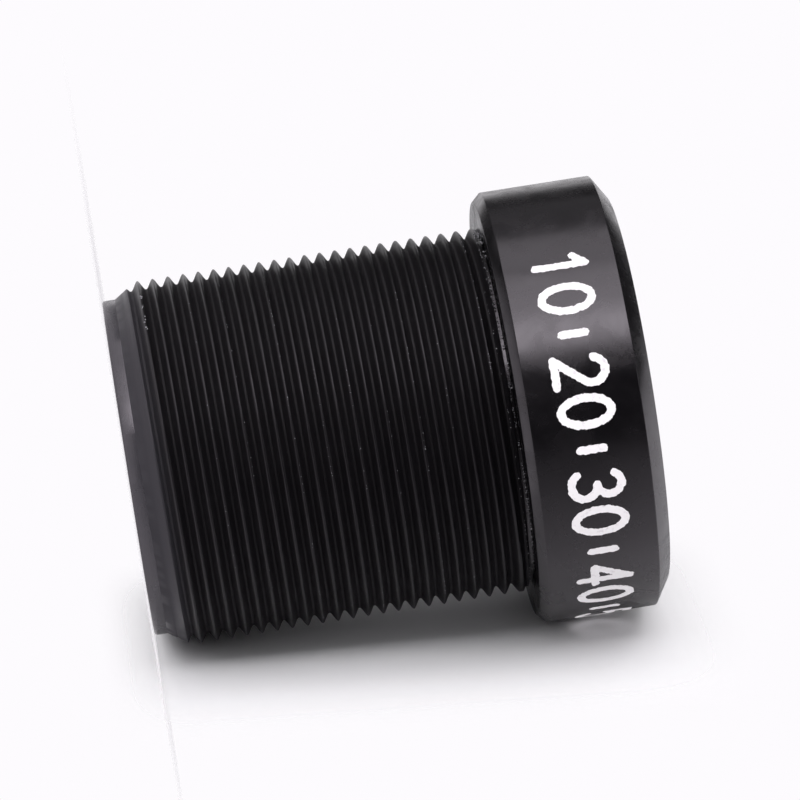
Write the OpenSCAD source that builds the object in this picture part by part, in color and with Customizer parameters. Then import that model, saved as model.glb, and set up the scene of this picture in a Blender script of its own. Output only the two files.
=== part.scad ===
// Board camera lens with an M12 x 0.5 mounting thread, fixed focus, four glass elements in three groups.
// Millimetres. The lens stands on its rear rim: the origin is the centre of the rear end face and
// +Z is the optical axis, which runs toward the subject. The cemented pair is at the rear, the
// front element sits on the barrel's front seat, and one slotted ring clamps the whole stack.

/* [Thread] */
// major diameter of the mounting thread
thread_d = 11.96; // [11.9:0.01:12]
// axial advance of one turn
thread_pitch = 0.5; // [0.4:0.05:0.6]
// height of the first full crest on the -X side, which sets where the helix starts
first_crest_z = 1.22; // [1.1:0.01:1.3]
// part of a turn over which the groove gets shallower before the neck
run_out_turn = 0.4; // [0.2:0.05:0.6]

/* [Rear pilot] */
// diameter of the plain ring that enters the holder first
pilot_d = 11; // [10.8:0.05:11.1]
// length of the plain ring
pilot_length = 0.42; // [0.3:0.02:0.5]
// slope of the lead-in cone between the ring and the thread, measured from the axis
lead_in_angle = 33; // [28:1:40]
// edge break on the rear rim
rim_break = 0.05; // [0.02:0.01:0.08]

/* [Head] */
// diameter of the grip head
head_d = 14.2; // [14:0.05:14.6]
// height of the head's rear face above the rear rim
head_seat_z = 12.4; // [12:0.02:12.6]
// whole length of the lens
total_length = 16.74; // [16.5:0.02:17.4]
// length of the chamfer behind the printed band
rear_chamfer_length = 0.29; // [0.2:0.01:0.5]
// how far that chamfer reaches inward
rear_chamfer_depth = 0.28; // [0.2:0.02:0.6]
// length of the chamfer in front of the printed band
front_chamfer_length = 0.48; // [0.3:0.02:0.6]
// how far that chamfer reaches inward
front_chamfer_depth = 0.76; // [0.4:0.02:1]
// diameter of the narrow neck between thread and head
neck_d = 11.3; // [11:0.05:11.35]
// length of the neck
neck_length = 0.14; // [0.1:0.02:0.2]

/* [Bores] */
// diameter of the round recess that takes the infrared filter
filter_recess_d = 9.8; // [9.7:0.05:9.9]
// depth of the filter recess
filter_recess_depth = 1.05; // [0.95:0.05:1.2]
// diameter of the clear hole behind the rear seat
rear_hole_d = 7.4; // [7:0.1:7.6]
// height of the seat that carries the cemented pair
rear_seat_z = 3.2; // [3.1:0.05:3.3]
// diameter of the bore for the three rear elements
main_bore_d = 9; // [8.9:0.05:9.1]
// diameter of the bore for the front element
front_bore_d = 10.44; // [10.42:0.01:10.5]
// diameter of the bore that takes the retaining ring
ring_bore_d = 10.7; // [10.66:0.02:10.8]
// number of light-trap grooves in the rear hole
trap_count = 3; // [1:1:3]
// depth of a light-trap groove
trap_depth = 0.22; // [0.1:0.02:0.26]

/* [Cemented pair] */
// edge thickness of the crown element
crown_edge = 1.4; // [1.2:0.05:1.6]
// radius of the crown's rear surface
crown_rear_radius = 10; // [9:0.5:14]
// radius of the cemented surface
cement_radius = 8; // [7.6:0.2:10]
// thickness of the cement between the two
cement_gap = 0.02; // [0.01:0.01:0.03]
// edge thickness of the flint element
flint_edge = 2.28; // [2.1:0.02:2.5]
// radius of the flint's hollow front surface
flint_front_radius = 50; // [40:5:80]
// clear radius of the flint's front surface
flint_aperture_r = 3.6; // [3.4:0.1:3.7]

/* [Spacers and stop] */
// height of the spacer in front of the cemented pair
rear_spacer_height = 1.4; // [1.2:0.05:1.6]
// thickness of the aperture stop
stop_thickness = 0.1; // [0.06:0.02:0.14]
// diameter of the hole in the aperture stop
stop_hole_d = 5; // [4:0.2:6]
// height of the spacer behind the front element
front_spacer_height = 0.8; // [0.7:0.05:0.9]

/* [Second and front elements] */
// edge thickness of the second element, hollow on both sides
second_edge = 2; // [1.8:0.05:2.2]
// radius of its rear hollow
second_rear_radius = 7; // [6.6:0.2:9]
// radius of its front hollow
second_front_radius = 14; // [12:0.5:20]
// clear radius of the second element
second_aperture_r = 3.4; // [3.2:0.1:3.5]
// diameter of the front element
front_element_d = 10.4; // [10.3:0.02:10.4]
// edge thickness of the front element
front_edge = 1.8; // [1.6:0.05:1.9]
// radius of the front element's domed face
front_dome_radius = 11; // [10:0.5:14]
// clear radius of the dome
front_dome_r = 4.6; // [4.4:0.05:4.65]
// radius of the front element's slightly hollow rear face
front_rear_radius = 60; // [50:5:90]
// clear radius of that rear face
front_rear_r = 3.8; // [3.6:0.1:3.9]

/* [Retaining ring] */
// height of the retaining ring
ring_height = 1.9; // [1.7:0.05:2]
// diameter of the ring's inner edge next to the glass
ring_throat_d = 9.3; // [9.25:0.05:9.4]
// diameter of the ring's flared mouth
ring_mouth_d = 9.9; // [9.7:0.05:9.95]
// height of the straight throat below the flare
ring_throat_height = 0.5; // [0.3:0.05:0.8]
// width of the two spanner slots
slot_width = 0.9; // [0.7:0.05:1.1]
// depth of the spanner slots
slot_depth = 0.6; // [0.4:0.05:0.8]

/* [Infrared filter] */
// side of the square filter plate
filter_side = 6.8; // [6.6:0.05:6.8]
// thickness of the filter plate
filter_thickness = 0.55; // [0.4:0.05:0.6]
// corner cut of the filter plate
filter_corner = 0.15; // [0.1:0.01:0.3]
// length of each adhesive bead along the plate
glue_length = 2.4; // [1.6:0.1:3]
// height of the adhesive beads
glue_height = 0.42; // [0.3:0.02:0.5]

/* [Hidden] */

$fn = 96;

// play between each glass or spacer and its bore, on the radius
glass_play = 0.02;
// play between the retaining ring and its bore, on the radius
ring_play = 0.015;
// how far the stack stands proud of the front seat, so that the ring clamps all of it
stack_proud = 0.03;
// overlap that keeps cutters clear of the faces they open
over = 0.2;

thread_r = thread_d / 2;
thread_flank = 30;
crest_flat = thread_pitch / 8;
thread_depth = 0.61343 * thread_pitch;
groove_mouth = thread_pitch - crest_flat;
groove_floor = groove_mouth - 2 * thread_depth * tan(thread_flank);
groove_extra = 0.04;
segments_per_turn = 36;

pilot_r = pilot_d / 2;
cone_end_z = pilot_length + (thread_r - pilot_r) / tan(lead_in_angle);

head_r = head_d / 2;
neck_r = neck_d / 2;
neck_start_z = head_seat_z - neck_length;
band_start_z = head_seat_z + rear_chamfer_length;
band_end_z = total_length - front_chamfer_length;

main_bore_r = main_bore_d / 2;
element_r = main_bore_r - glass_play;
rear_hole_r = rear_hole_d / 2;
filter_recess_r = filter_recess_d / 2;
trap_step = (rear_seat_z - filter_recess_depth) / (trap_count + 1);

crown_dome_r = rear_hole_r - 0.1;
flint_z = rear_seat_z + crown_edge;
rear_spacer_z = flint_z + flint_edge + cement_gap;
stop_z = rear_spacer_z + rear_spacer_height;
second_z = stop_z + stop_thickness;
front_spacer_z = second_z + second_edge;
front_seat_z = front_spacer_z + front_spacer_height;
ring_z = front_seat_z + front_edge;
ring_bore_z = ring_z - 0.3;
ring_r = ring_bore_d / 2 - ring_play;
mouth_break = 0.25;
spacer_wall = 0.75;

filter_z = filter_recess_depth - filter_thickness;

black_finish = [0.07, 0.07, 0.075];
dull_black = [0.05, 0.05, 0.05];
clear_glass = [0.72, 0.8, 0.86];
coated_glass = [0.42, 0.5, 0.72];
filter_glass = [0.75, 0.45, 0.5];
glue_colour = [0.16, 0.16, 0.15];

// height of a sphere's cap of the given base radius
function cap_height(ball_r, base_r) = ball_r - sqrt(ball_r * ball_r - base_r * base_r);

// corner points of the thread groove at step i; it starts one and a half turns below the first crest
function groove_ring(i, steps) =
    let (
        turn = i / segments_per_turn,
        angle = 180 + 360 * turn,
        left = (steps - i) / (run_out_turn * segments_per_turn),
        share = min(1, left),
        lift = (1 - share) * (thread_depth + groove_extra),
        z = first_crest_z - 1.5 * thread_pitch + turn * thread_pitch,
        floor_r = thread_r - thread_depth + lift,
        mouth_r = thread_r + groove_extra + lift,
        mouth = groove_mouth / 2 + groove_extra * tan(thread_flank)
    )
    [
        [floor_r * cos(angle), floor_r * sin(angle), z - groove_floor / 2],
        [mouth_r * cos(angle), mouth_r * sin(angle), z - mouth],
        [mouth_r * cos(angle), mouth_r * sin(angle), z + mouth],
        [floor_r * cos(angle), floor_r * sin(angle), z + groove_floor / 2]
    ];

// helical V groove of the right-hand thread, ready to be cut from the blank
module thread_groove() {
    steps = floor((neck_start_z + neck_length / 2 - first_crest_z + 1.5 * thread_pitch)
        / thread_pitch * segments_per_turn);
    rings = [for (i = [0:steps]) each groove_ring(i, steps)];
    sides = [
        for (i = [0:steps - 1], k = [0:3])
            let (a = 4 * i + k, b = 4 * i + (k + 1) % 4)
            each [[a, b, b + 4], [a, b + 4, a + 4]]
    ];
    last = 4 * steps;
    ends = [[0, 3, 2], [0, 2, 1], [last, last + 1, last + 2], [last, last + 2, last + 3]];
    polyhedron(points = rings, faces = concat(sides, ends));
}

// outline of the turned blank, right half, from the rear rim round the outside and back through the bore
function barrel_outline() = concat(
    [
        [filter_recess_r, 0],
        [pilot_r - rim_break, 0],
        [pilot_r, rim_break],
        [pilot_r, pilot_length],
        [thread_r, cone_end_z],
        [thread_r, neck_start_z],
        [neck_r, neck_start_z + 0.03],
        [neck_r, head_seat_z],
        [head_r - rear_chamfer_depth, head_seat_z],
        [head_r, band_start_z],
        [head_r, band_end_z],
        [head_r - front_chamfer_depth, total_length],
        [ring_bore_d / 2 + mouth_break, total_length],
        [ring_bore_d / 2, total_length - mouth_break],
        [ring_bore_d / 2, ring_bore_z],
        [front_bore_d / 2, ring_bore_z],
        [front_bore_d / 2, front_seat_z - stack_proud],
        [main_bore_r, front_seat_z - stack_proud],
        [main_bore_r, rear_seat_z],
        [rear_hole_r, rear_seat_z]
    ],
    [
        for (i = [trap_count:-1:1])
            each [
                [rear_hole_r, filter_recess_depth + i * trap_step + trap_step / 4],
                [rear_hole_r + trap_depth, filter_recess_depth + i * trap_step],
                [rear_hole_r, filter_recess_depth + i * trap_step - trap_step / 4]
            ]
    ],
    [
        [rear_hole_r, filter_recess_depth],
        [filter_recess_r, filter_recess_depth]
    ]
);

// turned barrel with pilot ring, mounting thread, neck, grip head and stepped bore
module barrel() {
    color(black_finish)
    difference() {
        rotate_extrude()
            polygon(barrel_outline());
        thread_groove();
    }
}

// clamping ring with two spanner slots and a flared mouth
module retaining_ring() {
    flare_height = ring_height - ring_throat_height;
    color(dull_black)
    difference() {
        translate([0, 0, ring_z])
            rotate_extrude()
                polygon([
                    [ring_throat_d / 2, 0],
                    [ring_r, 0],
                    [ring_r, ring_height],
                    [ring_mouth_d / 2, ring_height],
                    [ring_throat_d / 2, ring_height - flare_height]
                ]);
        translate([-head_r, -slot_width / 2, ring_z + ring_height - slot_depth])
            cube([head_d, slot_width, slot_depth + over]);
    }
}

// domed front element with a flat bevel under the ring
module front_element() {
    edge_r = front_element_d / 2;
    dome = cap_height(front_dome_radius, front_dome_r);
    hollow = cap_height(front_rear_radius, front_rear_r);
    color(coated_glass)
    translate([0, 0, front_seat_z])
    difference() {
        union() {
            cylinder(r = edge_r, h = front_edge);
            intersection() {
                translate([0, 0, front_edge + dome - front_dome_radius])
                    sphere(r = front_dome_radius);
                translate([0, 0, front_edge - over])
                    cylinder(r = front_dome_r, h = dome + 2 * over);
            }
        }
        translate([0, 0, hollow - front_rear_radius])
            sphere(r = front_rear_radius);
    }
}

// thin-walled ring that sets the air gap behind the front element
module front_spacer() {
    color(dull_black)
    translate([0, 0, front_spacer_z])
    difference() {
        cylinder(r = element_r, h = front_spacer_height);
        translate([0, 0, -over])
            cylinder(r = element_r - spacer_wall, h = front_spacer_height + 2 * over);
    }
}

// second element, hollow on both sides
module second_element() {
    rear_hollow = cap_height(second_rear_radius, second_aperture_r);
    front_hollow = cap_height(second_front_radius, second_aperture_r);
    color(clear_glass)
    translate([0, 0, second_z])
    difference() {
        cylinder(r = element_r, h = second_edge);
        translate([0, 0, rear_hollow - second_rear_radius])
            sphere(r = second_rear_radius);
        translate([0, 0, second_edge - front_hollow + second_front_radius])
            sphere(r = second_front_radius);
    }
}

// thin disc whose hole sets the lens speed
module aperture_stop() {
    color(dull_black)
    translate([0, 0, stop_z])
    difference() {
        cylinder(r = element_r, h = stop_thickness);
        translate([0, 0, -over])
            cylinder(d = stop_hole_d, h = stop_thickness + 2 * over);
    }
}

// spacer between the cemented pair and the stop, tapered inside
module rear_spacer() {
    color(dull_black)
    translate([0, 0, rear_spacer_z])
        rotate_extrude()
            polygon([
                [element_r - spacer_wall, 0],
                [element_r, 0],
                [element_r, rear_spacer_height],
                [element_r - 2 * spacer_wall, rear_spacer_height]
            ]);
}

// flint element of the cemented pair, hollow at both ends
module doublet_flint() {
    hollow = cap_height(flint_front_radius, flint_aperture_r);
    bulge = cap_height(cement_radius, element_r);
    color(clear_glass)
    difference() {
        translate([0, 0, flint_z + cement_gap])
            cylinder(r = element_r, h = flint_edge);
        translate([0, 0, flint_z + cement_gap + bulge - cement_radius])
            sphere(r = cement_radius);
        translate([0, 0, rear_spacer_z - hollow + flint_front_radius])
            sphere(r = flint_front_radius);
    }
}

// crown element of the cemented pair, with a flat bevel on the rear seat
module doublet_crown() {
    bulge = cap_height(cement_radius, element_r);
    dome = cap_height(crown_rear_radius, crown_dome_r);
    color(clear_glass)
    union() {
        translate([0, 0, rear_seat_z])
            cylinder(r = element_r, h = crown_edge);
        intersection() {
            translate([0, 0, flint_z + bulge - cement_radius])
                sphere(r = cement_radius);
            translate([0, 0, rear_seat_z + crown_edge / 2])
                cylinder(r = element_r, h = crown_edge / 2 + bulge + over);
        }
        intersection() {
            translate([0, 0, rear_seat_z - dome + crown_rear_radius])
                sphere(r = crown_rear_radius);
            translate([0, 0, rear_seat_z - dome - over])
                cylinder(r = crown_dome_r, h = dome + 2 * over);
        }
    }
}

// square infrared-cut plate in the rear recess
module ir_cut_filter() {
    half = filter_side / 2;
    cut = half - filter_corner;
    color(filter_glass)
    translate([0, 0, filter_z])
        linear_extrude(filter_thickness)
            polygon([
                [half, -cut], [half, cut], [cut, half], [-cut, half],
                [-half, cut], [-half, -cut], [-cut, -half], [cut, -half]
            ]);
}

// four adhesive beads between the filter's sides and the recess wall
module filter_glue() {
    half = filter_side / 2;
    color(glue_colour)
    translate([0, 0, filter_recess_depth - glue_height])
    for (turn = [0:90:270])
        rotate([0, 0, turn])
        intersection() {
            cylinder(r = filter_recess_r, h = glue_height);
            translate([half, -glue_length / 2, 0])
                cube([filter_recess_r, glue_length, glue_height]);
        }
}

barrel();
retaining_ring();
front_element();
front_spacer();
second_element();
aperture_stop();
rear_spacer();
doublet_flint();
doublet_crown();
ir_cut_filter();
filter_glue();
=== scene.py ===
import math
from functools import partial

import bmesh
import bpy
from mathutils import Matrix, Vector


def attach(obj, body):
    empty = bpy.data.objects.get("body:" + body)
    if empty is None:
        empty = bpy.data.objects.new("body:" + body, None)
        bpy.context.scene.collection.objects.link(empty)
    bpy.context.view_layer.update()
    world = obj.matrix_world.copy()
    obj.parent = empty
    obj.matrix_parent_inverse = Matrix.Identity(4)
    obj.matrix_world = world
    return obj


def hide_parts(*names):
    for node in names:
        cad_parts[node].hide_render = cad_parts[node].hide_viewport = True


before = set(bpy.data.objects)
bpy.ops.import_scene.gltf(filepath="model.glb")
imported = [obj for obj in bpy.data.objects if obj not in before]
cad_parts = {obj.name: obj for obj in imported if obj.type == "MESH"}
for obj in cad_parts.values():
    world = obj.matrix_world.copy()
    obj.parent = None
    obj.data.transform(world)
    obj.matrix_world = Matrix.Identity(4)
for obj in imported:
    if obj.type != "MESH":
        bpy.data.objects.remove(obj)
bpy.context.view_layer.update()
scene = bpy.context.scene
scene.view_settings.view_transform = "Standard"
mm = 0.001  # every size below is written in millimetres and turned to metres with this
print("lens: frame loaded,", len(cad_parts), "nodes")


# small helpers

def linear(hexColour):  # sRGB hex to the linear colour that the shader sockets take
    parts = [int(hexColour[i:i + 2], 16) / 255 for i in (1, 3, 5)]
    return tuple(c / 12.92 if c <= 0.04045 else ((c + 0.055) / 1.055) ** 2.4 for c in parts) + (1.0,)


def addNode(tree, kind, inputs=None, **settings):  # one node with its settings, values and links
    node = tree.nodes.new(kind)
    for name, value in settings.items():
        setattr(node, name, value)
    for key, value in (inputs or {}).items():
        if isinstance(value, bpy.types.NodeSocket):
            tree.links.new(value, node.inputs[key])
        else:
            node.inputs[key].default_value = value
    return node


def mathIn(tree, operation, *values):  # result of a sum on sockets or numbers
    return addNode(tree, "ShaderNodeMath", dict(enumerate(values)), operation=operation).outputs[0]


def newMaterial(name):  # an empty material with its shader and output joined
    material = bpy.data.materials.new(name)
    material.use_nodes = True
    tree = material.node_tree
    tree.nodes.clear()
    shader = addNode(tree, "ShaderNodeBsdfPrincipled")
    addNode(tree, "ShaderNodeOutputMaterial", {"Surface": shader.outputs[0]})
    return material, tree, shader


def newTree(name, sizes):  # a geometry tree with named inputs
    tree = bpy.data.node_groups.new(name, "GeometryNodeTree")
    tree.interface.new_socket("Geometry", in_out="INPUT", socket_type="NodeSocketGeometry")
    for label, kind in sizes.items():
        tree.interface.new_socket(label, in_out="INPUT", socket_type="NodeSocket" + kind)
    tree.interface.new_socket("Geometry", in_out="OUTPUT", socket_type="NodeSocketGeometry")
    return tree, addNode(tree, "NodeGroupInput")


def endTree(tree, geometry, material):  # every tree ends in real geometry with its material
    real = addNode(tree, "GeometryNodeRealizeInstances", {0: geometry})
    painted = addNode(tree, "GeometryNodeSetMaterial", {"Geometry": real.outputs[0], "Material": material})
    addNode(tree, "NodeGroupOutput", {0: painted.outputs[0]})


def runTree(name, tree, values, base=None):  # runs a tree on an object and keeps the result as a plain mesh
    piece = bpy.data.objects.new(name, base or bpy.data.meshes.new(name))
    scene.collection.objects.link(piece)
    modifier = piece.modifiers.new("build", "NODES")
    modifier.node_group = tree
    for item in tree.interface.items_tree:
        if item.in_out == "INPUT" and item.name in values:
            modifier[item.identifier] = values[item.name]
    depsgraph = bpy.context.evaluated_depsgraph_get()
    mesh = bpy.data.meshes.new_from_object(piece.evaluated_get(depsgraph))
    piece.modifiers.clear()
    piece.data = mesh
    mesh.name = name
    setMaterial(mesh, values["Finish"])
    return piece


def setMaterial(mesh, material):  # one material on every face
    mesh.materials.clear()
    mesh.materials.append(material)
    for face in mesh.polygons:
        face.material_index = 0


def closeAndShade(piece, merge=0.0004, sharpAngle=28):  # welds seams, turns faces outward, smooth with sharp corners
    work = bmesh.new()
    work.from_mesh(piece.data)
    bmesh.ops.remove_doubles(work, verts=work.verts, dist=merge * mm)
    bmesh.ops.dissolve_degenerate(work, edges=work.edges, dist=merge * mm * 0.5)
    bmesh.ops.recalc_face_normals(work, faces=work.faces)
    openEdges = sum(1 for e in work.edges if len(e.link_faces) != 2)
    work.to_mesh(piece.data)
    work.free()
    for face in piece.data.polygons:
        face.use_smooth = True
    piece.data.set_sharp_from_angle(angle=math.radians(sharpAngle))
    print("  ", piece.name, len(piece.data.polygons), "faces, open edges", openEdges)


def roundOutline(points, radius, steps=3):  # small rounds on the corners of a turned outline
    out = []
    for i, point in enumerate(points):
        if i in (0, len(points) - 1):
            out.append(point)
            continue
        here = Vector(point[:2])
        before = Vector(points[i - 1][:2]) - here
        after = Vector(points[i + 1][:2]) - here
        r = point[2] if len(point) > 2 else radius
        reach = min(r, before.length * 0.4, after.length * 0.4)
        turn = before.angle(after, 0)
        if r <= 0 or reach < 1e-4 or turn > math.radians(175):
            out.append(tuple(here))
            continue
        a, b = here + before.normalized() * reach, here + after.normalized() * reach
        for k in range(steps + 1):
            t = k / steps
            out.append(tuple(a.lerp(here, t).lerp(here.lerp(b, t), t)))
    return out


def outlineMesh(name, points):  # the outline as a chain of points in the XZ plane, metres
    mesh = bpy.data.meshes.new(name)
    mesh.from_pydata([(r * mm, 0, z * mm) for r, z in points], [(i, i + 1) for i in range(len(points) - 1)], [])
    return mesh


# materials; patterns read Object coordinates turned to millimetres, so their scales are real sizes

def patternSpace(tree):
    place = addNode(tree, "ShaderNodeTexCoord").outputs["Object"]
    return addNode(tree, "ShaderNodeVectorMath", {0: place, "Scale": 1 / mm}, operation="SCALE").outputs[0]


turnedFinish = {
    "colour": "#080709",        # dyed oxide, a trace of violet
    "roughness": (0.15, 0.34),  # satin, from handled patches to bare etch
    "rootRoughness": 0.0,
    "specular": 1.0,            # matched to the highlights under this script's lamps
    "sheen": "#fff7ff",         # the dye's faint violet in the highlights
    "turningPitch": 0.045,      # mm between tool marks; real ones are about half that and would not show
    "grain": 0.035,             # mm, etched grain
    "smudge": 1.1,              # mm, handling marks
    "relief": 0.0011,           # mm, height of the marks
    "waviness": 3.0,            # handling marks against tool marks
    "paintedRimLight": "#2d2c30",     # lighter outside colour near the rear rim: painted light, standing in for the light the rear ring reflects
    "paintedRimRadius": 5.2,          # mm from the axis; nearer, in the bore, the painted light is left out
    "paintedRimReach": (0.9, 1.3),    # mm above the rear rim where the painted light ends
}
cutFinish = dict(turnedFinish, colour="#070608", roughness=(0.28, 0.4), rootRoughness=0.35, specular=0.44,
                 turningPitch=0.03,
                 relief=0.0016, waviness=1.0)


def makeAnodised(name, finish):
    # satin black anodised aluminium, turned and etched: a dark glassy film whose soft highlight is broken
    # by fine tool lines round the axis, by grain and by faint handling marks; thread grooves are duller below
    material, tree, shader = newMaterial(name)
    place = patternSpace(tree)
    parts = addNode(tree, "ShaderNodeSeparateXYZ", {0: place})
    flat = addNode(tree, "ShaderNodeCombineXYZ", {0: parts.outputs[0], 1: parts.outputs[1]})
    radius = addNode(tree, "ShaderNodeVectorMath", {0: flat.outputs[0]}, operation="LENGTH")
    along = addNode(tree, "ShaderNodeMath", {0: radius.outputs["Value"], 1: 0.83, 2: parts.outputs[2]},
                    operation="MULTIPLY_ADD")
    lines = addNode(tree, "ShaderNodeTexNoise",
                    {"W": along.outputs[0], "Scale": 1 / finish["turningPitch"], "Detail": 2.0},
                    noise_dimensions="1D")
    grain = addNode(tree, "ShaderNodeTexNoise", {"Vector": place, "Scale": 1 / finish["grain"], "Detail": 2.0})
    smudge = addNode(tree, "ShaderNodeTexNoise",
                     {"Vector": place, "Scale": 1 / finish["smudge"], "Detail": 5.0, "Roughness": 0.6,
                                                  "Distortion": 0.6})
    height = addNode(tree, "ShaderNodeMath", {0: lines.outputs[0], 1: 0.35, 2: grain.outputs[0]},
                     operation="MULTIPLY_ADD")
    height = addNode(tree, "ShaderNodeMath", {0: smudge.outputs[0], 1: finish["waviness"], 2: height.outputs[0]},
                     operation="MULTIPLY_ADD")
    bump = addNode(tree, "ShaderNodeBump",
                   {"Height": height.outputs[0], "Distance": finish["relief"] * mm, "Strength": 1.0})
    low, high = finish["roughness"]
    rough = addNode(tree, "ShaderNodeMapRange", {"Value": smudge.outputs[0], "From Min": 0.3, "From Max": 0.7,
                                                 "To Min": low, "To Max": high})
    groove = addNode(tree, "ShaderNodeAttribute", attribute_name="cutDepth")
    total = addNode(tree, "ShaderNodeMath",
                    {0: groove.outputs["Fac"], 1: finish["rootRoughness"], 2: rough.outputs[0]},
                    operation="MULTIPLY_ADD")
    # painted light: a lighter colour outside near the rear rim stands in for the light that the rear ring reflects
    start, end = finish["paintedRimReach"]
    dark = addNode(tree, "ShaderNodeMapRange", {"Value": parts.outputs[2], "From Min": start, "From Max": end})
    inside = addNode(tree, "ShaderNodeMath", {0: radius.outputs["Value"], 1: finish["paintedRimRadius"]},
                     operation="LESS_THAN")
    both = addNode(tree, "ShaderNodeMath", {0: dark.outputs[0], 1: inside.outputs[0]}, operation="MAXIMUM")
    colour = addNode(tree, "ShaderNodeMix",
                     {"Factor": both.outputs[0], "A": linear(finish["paintedRimLight"]), "B": linear(finish["colour"])},
                     data_type="RGBA")
    tree.links.new(colour.outputs["Result"], shader.inputs["Base Color"])
    tree.links.new(total.outputs[0], shader.inputs["Roughness"])
    tree.links.new(bump.outputs[0], shader.inputs["Normal"])
    shader.inputs["Specular IOR Level"].default_value = finish["specular"]
    shader.inputs["Specular Tint"].default_value = linear(finish["sheen"])
    return material


def makeBurr():
    # bare aluminium torn up by the thread tool: small bright chips, uneven and slightly rough
    material, tree, shader = newMaterial("bareAluminiumBurr")
    place = patternSpace(tree)
    tear = addNode(tree, "ShaderNodeTexNoise", {"Vector": place, "Scale": 22.0, "Detail": 3.0})
    rough = addNode(tree, "ShaderNodeMapRange", {"Value": tear.outputs[0], "To Min": 0.25, "To Max": 0.6})
    colour = addNode(tree, "ShaderNodeMix",
                     {"Factor": tear.outputs[0], "A": linear("#77767b"), "B": linear("#c9c8cd")}, data_type="RGBA")
    shader.inputs["Metallic"].default_value = 0.8
    tree.links.new(colour.outputs["Result"], shader.inputs["Base Color"])
    tree.links.new(rough.outputs[0], shader.inputs["Roughness"])
    return material


def makeDullBlack():
    # matt black anodised aluminium, bead blasted: nearly no highlight, so that no light strays in the lens
    material, tree, shader = newMaterial("mattBlackAnodisedAluminium")
    place = patternSpace(tree)
    grain = addNode(tree, "ShaderNodeTexNoise", {"Vector": place, "Scale": 18.0, "Detail": 3.0})
    bump = addNode(tree, "ShaderNodeBump", {"Height": grain.outputs[0], "Distance": 0.004 * mm})
    rough = addNode(tree, "ShaderNodeMapRange", {"Value": grain.outputs[0], "To Min": 0.42, "To Max": 0.62})
    shader.inputs["Base Color"].default_value = linear("#131314")
    tree.links.new(rough.outputs[0], shader.inputs["Roughness"])
    tree.links.new(bump.outputs[0], shader.inputs["Normal"])
    return material


def makePrint():
    # white pad-printing ink: a flat matt film, a little uneven where it was pressed on the round head
    material, tree, shader = newMaterial("whitePadPrintInk")
    place = patternSpace(tree)
    cover = addNode(tree, "ShaderNodeTexNoise", {"Vector": place, "Scale": 5.0, "Detail": 4.0})
    thin = addNode(tree, "ShaderNodeMapRange", {"Value": cover.outputs[0], "From Min": 0.6, "From Max": 0.75})
    colour = addNode(tree, "ShaderNodeMix",
                     {"Factor": thin.outputs[0], "A": linear("#f4f1f3"), "B": linear("#d9d4d8")}, data_type="RGBA")
    tree.links.new(colour.outputs["Result"], shader.inputs["Base Color"])
    shader.inputs["Roughness"].default_value = 0.6
    return material


def makeGlass(name, tint, coat):
    # polished optical glass with an anti-reflection coating: clear, with a weak tinted reflection
    material, tree, shader = newMaterial(name)
    edge = addNode(tree, "ShaderNodeLayerWeight", {"Blend": 0.35})
    colour = addNode(tree, "ShaderNodeMix",
                     {"Factor": edge.outputs["Facing"], "A": linear(coat[0]), "B": linear(coat[1])}, data_type="RGBA")
    shader.inputs["Base Color"].default_value = linear(tint)
    shader.inputs["Roughness"].default_value = 0.0
    shader.inputs["IOR"].default_value = 1.52
    shader.inputs["Transmission Weight"].default_value = 1.0
    tree.links.new(colour.outputs["Result"], shader.inputs["Specular Tint"])
    return material


def makeAdhesive():
    # cured black adhesive: soft semi-gloss blobs
    material, tree, shader = newMaterial("blackLensAdhesive")
    place = patternSpace(tree)
    lump = addNode(tree, "ShaderNodeTexNoise", {"Vector": place, "Scale": 2.5, "Detail": 3.0})
    bump = addNode(tree, "ShaderNodeBump", {"Height": lump.outputs[0], "Distance": 0.03 * mm})
    shader.inputs["Base Color"].default_value = linear("#161615")
    shader.inputs["Roughness"].default_value = 0.35
    tree.links.new(bump.outputs[0], shader.inputs["Normal"])
    return material


blackAnodised = makeAnodised("satinBlackAnodisedAluminium", turnedFinish)
cutAnodised = makeAnodised("threadCutBlackAnodised", cutFinish)
bareBurr = makeBurr()
dullBlack = makeDullBlack()
whiteInk = makePrint()
frontGlass = makeGlass("coatedFrontGlass", "#f2f5ff", ("#7a5fd0", "#5fa37a"))
clearGlass = makeGlass("polishedOpticalGlass", "#f7fbfb", ("#6f8fd0", "#9fb0c0"))
filterGlass = makeGlass("infraredCutFilterGlass", "#f6d2d6", ("#c0364a", "#3fb7a0"))
adhesive = makeAdhesive()
print("lens: materials made")


# barrel: a turned blank and the mounting thread's helical skin, welded to one closed shell

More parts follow.
